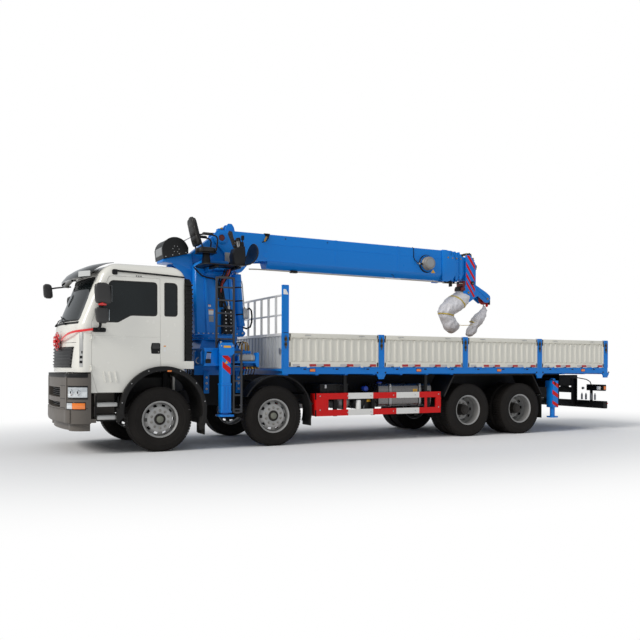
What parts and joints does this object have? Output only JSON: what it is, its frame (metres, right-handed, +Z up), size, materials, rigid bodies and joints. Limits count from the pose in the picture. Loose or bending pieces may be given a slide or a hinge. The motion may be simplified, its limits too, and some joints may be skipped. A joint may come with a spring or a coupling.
{
  "type": "mobile crane",
  "caption": "Telescopic crane on a flatbed lorry with twin steering axles, a drop-sided bed, outriggers and a boom stowed rearwards over the bed.",
  "frame": {"origin": "on the ground under the middle of the overall box", "axes": "+X towards the lorry's front, +Y towards its left side, +Z up"},
  "size_m": [11.63, 2.73, 3.9948],
  "materials": {
    "axle_paint": "black chassis paint, satin",
    "bed_paint": "blue paint, satin",
    "bumper_paint": "dark grey paint, satin",
    "cab_paint": "cream-white gloss paint",
    "cab_trim": "grained plastic and cloth",
    "chassis_paint": "black chassis paint, satin",
    "crane_paint": "blue gloss paint",
    "driveline_iron": "cast and painted iron",
    "equipment_metal": "brushed aluminium",
    "gate_paint": "cream-white paint",
    "guard_paint": "white paint with red bands",
    "guard_plastic": "moulded plastic, matt",
    "headboard_paint": "white paint",
    "hook_wrap": "white wrapping cloth over the hook block",
    "rim_paint": "silver-white wheel paint, satin",
    "rod_chrome": "hard-chromed rod",
    "station_trim": "black paint and plastic",
    "tyre": "moulded rubber, matt",
    "winch_paint": "black paint, satin",
    "window_glass": "tinted glass"
  },
  "bodies": {
    "chassis": {"chassis_frame": "chassis_paint", "driveline": "driveline_iron", "front_axles": "axle_paint", "rear_axles": "axle_paint", "cab_shell": "cab_paint", "cab_interior": "cab_trim", "cab_glass": "window_glass", "bumper": "bumper_paint", "mudguards": "guard_plastic", "guards": "guard_paint", "side_equipment": "equipment_metal", "bed": "bed_paint", "headboard": "headboard_paint", "crane_base": "crane_paint"},
    "column": {"column": "crane_paint", "winch": "winch_paint", "operator_station": "station_trim"},
    "boom_base": {"boom_base": "crane_paint"},
    "boom_2": {"boom_2": "crane_paint"},
    "boom_3": {"boom_3": "crane_paint"},
    "boom_4": {"boom_4": "crane_paint"},
    "boom_tip": {"boom_tip": "crane_paint", "main_hook": "hook_wrap", "auxiliary_hook": "hook_wrap"},
    "lift_barrel": {"lift_barrel": "crane_paint"},
    "lift_rod": {"lift_rod": "rod_chrome"},
    "gates_left": {"gates_left": "gate_paint"},
    "gates_right": {"gates_right": "gate_paint"},
    "tailgate": {"tailgate": "gate_paint"},
    "knuckle_1_left": {"knuckle_1_left": "axle_paint"},
    "knuckle_2_left": {"knuckle_2_left": "axle_paint"},
    "wheel_1_left": {"tyre_1_left": "tyre", "rim_1_left": "rim_paint"},
    "wheel_2_left": {"tyre_2_left": "tyre", "rim_2_left": "rim_paint"},
    "wheel_3_left": {"tyre_3_left": "tyre", "rim_3_left": "rim_paint"},
    "wheel_4_left": {"tyre_4_left": "tyre", "rim_4_left": "rim_paint"},
    "door_left": {"door_left": "cab_paint", "door_glass_left": "window_glass"},
    "outrigger_left": {"outrigger_left": "crane_paint"},
    "foot_front_left": {"foot_front_left": "crane_paint"},
    "foot_rear_left": {"foot_rear_left": "crane_paint"},
    "knuckle_1_right": {"knuckle_1_right": "axle_paint"},
    "knuckle_2_right": {"knuckle_2_right": "axle_paint"},
    "wheel_1_right": {"tyre_1_right": "tyre", "rim_1_right": "rim_paint"},
    "wheel_2_right": {"tyre_2_right": "tyre", "rim_2_right": "rim_paint"},
    "wheel_3_right": {"tyre_3_right": "tyre", "rim_3_right": "rim_paint"},
    "wheel_4_right": {"tyre_4_right": "tyre", "rim_4_right": "rim_paint"},
    "door_right": {"door_right": "cab_paint", "door_glass_right": "window_glass"},
    "outrigger_right": {"outrigger_right": "crane_paint"},
    "foot_front_right": {"foot_front_right": "crane_paint"},
    "foot_rear_right": {"foot_rear_right": "crane_paint"}
  },
  "joints": [
    {"name": "steer_1_left", "type": "hinge", "parent": "chassis", "child": "knuckle_1_left", "pos_m": [4.315, 0.85, 0.522], "axis": [0, 0, 1], "range_deg": [-30, 30]},
    {"name": "steer_2_left", "type": "hinge", "parent": "chassis", "child": "knuckle_2_left", "pos_m": [2.315, 0.85, 0.522], "axis": [0, 0, 1], "range_deg": [-15, 15]},
    {"name": "spin_1_left", "type": "hinge", "parent": "knuckle_1_left", "child": "wheel_1_left", "pos_m": [4.315, 1.04, 0.522], "axis": [0, 1, 0], "continuous": true},
    {"name": "spin_2_left", "type": "hinge", "parent": "knuckle_2_left", "child": "wheel_2_left", "pos_m": [2.315, 1.04, 0.522], "axis": [0, 1, 0], "continuous": true},
    {"name": "spin_3_left", "type": "hinge", "parent": "chassis", "child": "wheel_3_left", "pos_m": [-1.885, 0.928, 0.522], "axis": [0, 1, 0], "continuous": true},
    {"name": "spin_4_left", "type": "hinge", "parent": "chassis", "child": "wheel_4_left", "pos_m": [-3.235, 0.928, 0.522], "axis": [0, 1, 0], "continuous": true},
    {"name": "door_left", "type": "hinge", "parent": "chassis", "child": "door_left", "pos_m": [5.398, 1.166, 1.5], "axis": [0, 0, 1], "range_deg": [-70, 0]},
    {"name": "extend_outrigger_left", "type": "slide", "parent": "chassis", "child": "outrigger_left", "axis": [0, 1, 0], "range_m": [0, 1.4]},
    {"name": "lower_foot_front_left", "type": "slide", "parent": "outrigger_left", "child": "foot_front_left", "axis": [0, 0, -1], "range_m": [0, 0.53]},
    {"name": "lower_foot_rear_left", "type": "slide", "parent": "chassis", "child": "foot_rear_left", "axis": [0, 0, -1], "range_m": [0, 0.295]},
    {"name": "gates_left", "type": "hinge", "parent": "chassis", "child": "gates_left", "pos_m": [-1.785, 1.262, 1.373], "axis": [1, 0, 0], "range_deg": [-170, 0]},
    {"name": "steer_1_right", "type": "hinge", "parent": "chassis", "child": "knuckle_1_right", "pos_m": [4.315, -0.85, 0.522], "axis": [0, 0, 1], "range_deg": [-30, 30]},
    {"name": "steer_2_right", "type": "hinge", "parent": "chassis", "child": "knuckle_2_right", "pos_m": [2.315, -0.85, 0.522], "axis": [0, 0, 1], "range_deg": [-15, 15]},
    {"name": "spin_1_right", "type": "hinge", "parent": "knuckle_1_right", "child": "wheel_1_right", "pos_m": [4.315, -1.04, 0.522], "axis": [0, 1, 0], "continuous": true},
    {"name": "spin_2_right", "type": "hinge", "parent": "knuckle_2_right", "child": "wheel_2_right", "pos_m": [2.315, -1.04, 0.522], "axis": [0, 1, 0], "continuous": true},
    {"name": "spin_3_right", "type": "hinge", "parent": "chassis", "child": "wheel_3_right", "pos_m": [-1.885, -0.928, 0.522], "axis": [0, 1, 0], "continuous": true},
    {"name": "spin_4_right", "type": "hinge", "parent": "chassis", "child": "wheel_4_right", "pos_m": [-3.235, -0.928, 0.522], "axis": [0, 1, 0], "continuous": true},
    {"name": "door_right", "type": "hinge", "parent": "chassis", "child": "door_right", "pos_m": [5.398, -1.166, 1.5], "axis": [0, 0, 1], "range_deg": [0, 70]},
    {"name": "extend_outrigger_right", "type": "slide", "parent": "chassis", "child": "outrigger_right", "axis": [0, -1, 0], "range_m": [0, 1.4]},
    {"name": "lower_foot_front_right", "type": "slide", "parent": "outrigger_right", "child": "foot_front_right", "axis": [0, 0, -1], "range_m": [0, 0.53]},
    {"name": "lower_foot_rear_right", "type": "slide", "parent": "chassis", "child": "foot_rear_right", "axis": [0, 0, -1], "range_m": [0, 0.295]},
    {"name": "gates_right", "type": "hinge", "parent": "chassis", "child": "gates_right", "pos_m": [-1.785, -1.262, 1.373], "axis": [1, 0, 0], "range_deg": [0, 170]},
    {"name": "tailgate", "type": "hinge", "parent": "chassis", "child": "tailgate", "pos_m": [-5.772, 0, 1.373], "axis": [0, 1, 0], "range_deg": [-170, 0]},
    {"name": "slew", "type": "hinge", "parent": "chassis", "child": "column", "pos_m": [3.015, 0, 1.88], "axis": [0, 0, 1], "continuous": true},
    {"name": "luff", "type": "hinge", "parent": "column", "child": "boom_base", "pos_m": [2.925, 0, 3.71], "axis": [0, 1, 0], "range_deg": [0, 70]},
    {"name": "lift_barrel_swing", "type": "hinge", "parent": "column", "child": "lift_barrel", "pos_m": [2.485, 0, 1.99], "axis": [0, 1, 0], "range_deg": [-15, 0]},
    {"name": "lift_rod_slide", "type": "slide", "parent": "lift_barrel", "child": "lift_rod", "axis": [0.0913, 0, 0.9958], "range_m": [0, 0.63]},
    {"name": "extend_boom_2", "type": "slide", "parent": "boom_base", "child": "boom_2", "axis": [-1, 0, 0], "range_m": [0, 3.4]},
    {"name": "extend_boom_3", "type": "slide", "parent": "boom_2", "child": "boom_3", "axis": [-1, 0, 0], "range_m": [0, 3.4]},
    {"name": "extend_boom_4", "type": "slide", "parent": "boom_3", "child": "boom_4", "axis": [-1, 0, 0], "range_m": [0, 3.4]},
    {"name": "extend_boom_tip", "type": "slide", "parent": "boom_4", "child": "boom_tip", "axis": [-1, 0, 0], "range_m": [0, 3.4]}
  ],
  "couplings": [
    {"joint": "steer_1_right", "follows": "steer_1_left", "ratio": 1},
    {"joint": "steer_2_left", "follows": "steer_1_left", "ratio": 0.5},
    {"joint": "steer_2_right", "follows": "steer_1_left", "ratio": 0.5},
    {"joint": "lift_barrel_swing", "follows": "luff", "ratio": -0.2094},
    {"joint": "lift_rod_slide", "follows": "luff", "m_per_rad": 0.5075},
    {"joint": "extend_boom_3", "follows": "extend_boom_2", "ratio": 1},
    {"joint": "extend_boom_4", "follows": "extend_boom_2", "ratio": 1},
    {"joint": "extend_boom_tip", "follows": "extend_boom_2", "ratio": 1}
  ]
}
